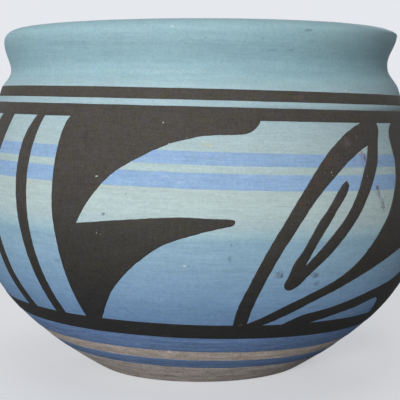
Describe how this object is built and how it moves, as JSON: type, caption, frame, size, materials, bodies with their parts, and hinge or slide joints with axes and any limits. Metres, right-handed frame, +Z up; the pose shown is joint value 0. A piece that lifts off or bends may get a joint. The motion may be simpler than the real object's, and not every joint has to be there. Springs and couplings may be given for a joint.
{
  "type": "painted pottery jar",
  "caption": "Squat wide-mouthed clay jar with a rolled lip and a round belly, painted in banded blue slips under black figures.",
  "frame": {"origin": "middle of the flat base, on the surface the jar stands on", "axes": "+Z up along the jar's turning axis; the side of the figures that the picture shows faces -Y, with +X to its right"},
  "size_m": [0.1692, 0.1696, 0.126],
  "materials": {
    "bare_clay": "smoothed unglazed buff clay, matt, with fine turning lines",
    "turquoise_slip": "matt slip with a faint sheen and fine brush lines round the jar",
    "pale_slip": "matt pale slip, faintly speckled",
    "periwinkle_slip": "matt brushed stripe",
    "belly_blend_slip": "matt slip that blends from pale grey-green to blue",
    "blue_slip": "matt blue slip, thinly brushed",
    "black_slip": "matt warm black slip, brushed on thicker than the coats"
  },
  "bodies": {
    "root": {"clay_body": "bare_clay", "neck_coat": "turquoise_slip", "shoulder_coat": "pale_slip", "upper_stripe": "periwinkle_slip", "between_coat": "pale_slip", "lower_stripe": "periwinkle_slip", "belly_coat": "belly_blend_slip", "skirt_coat": "blue_slip", "foot_stripe": "blue_slip", "neck_line": "black_slip", "shoulder_line": "black_slip", "skirt_band": "black_slip", "arc_1": "black_slip", "hook_1": "black_slip", "feather_1": "black_slip", "sweep_1": "black_slip", "arc_2": "black_slip", "hook_2": "black_slip", "feather_2": "black_slip", "sweep_2": "black_slip", "arc_3": "black_slip", "hook_3": "black_slip", "feather_3": "black_slip", "sweep_3": "black_slip"}
  },
  "joints": []
}
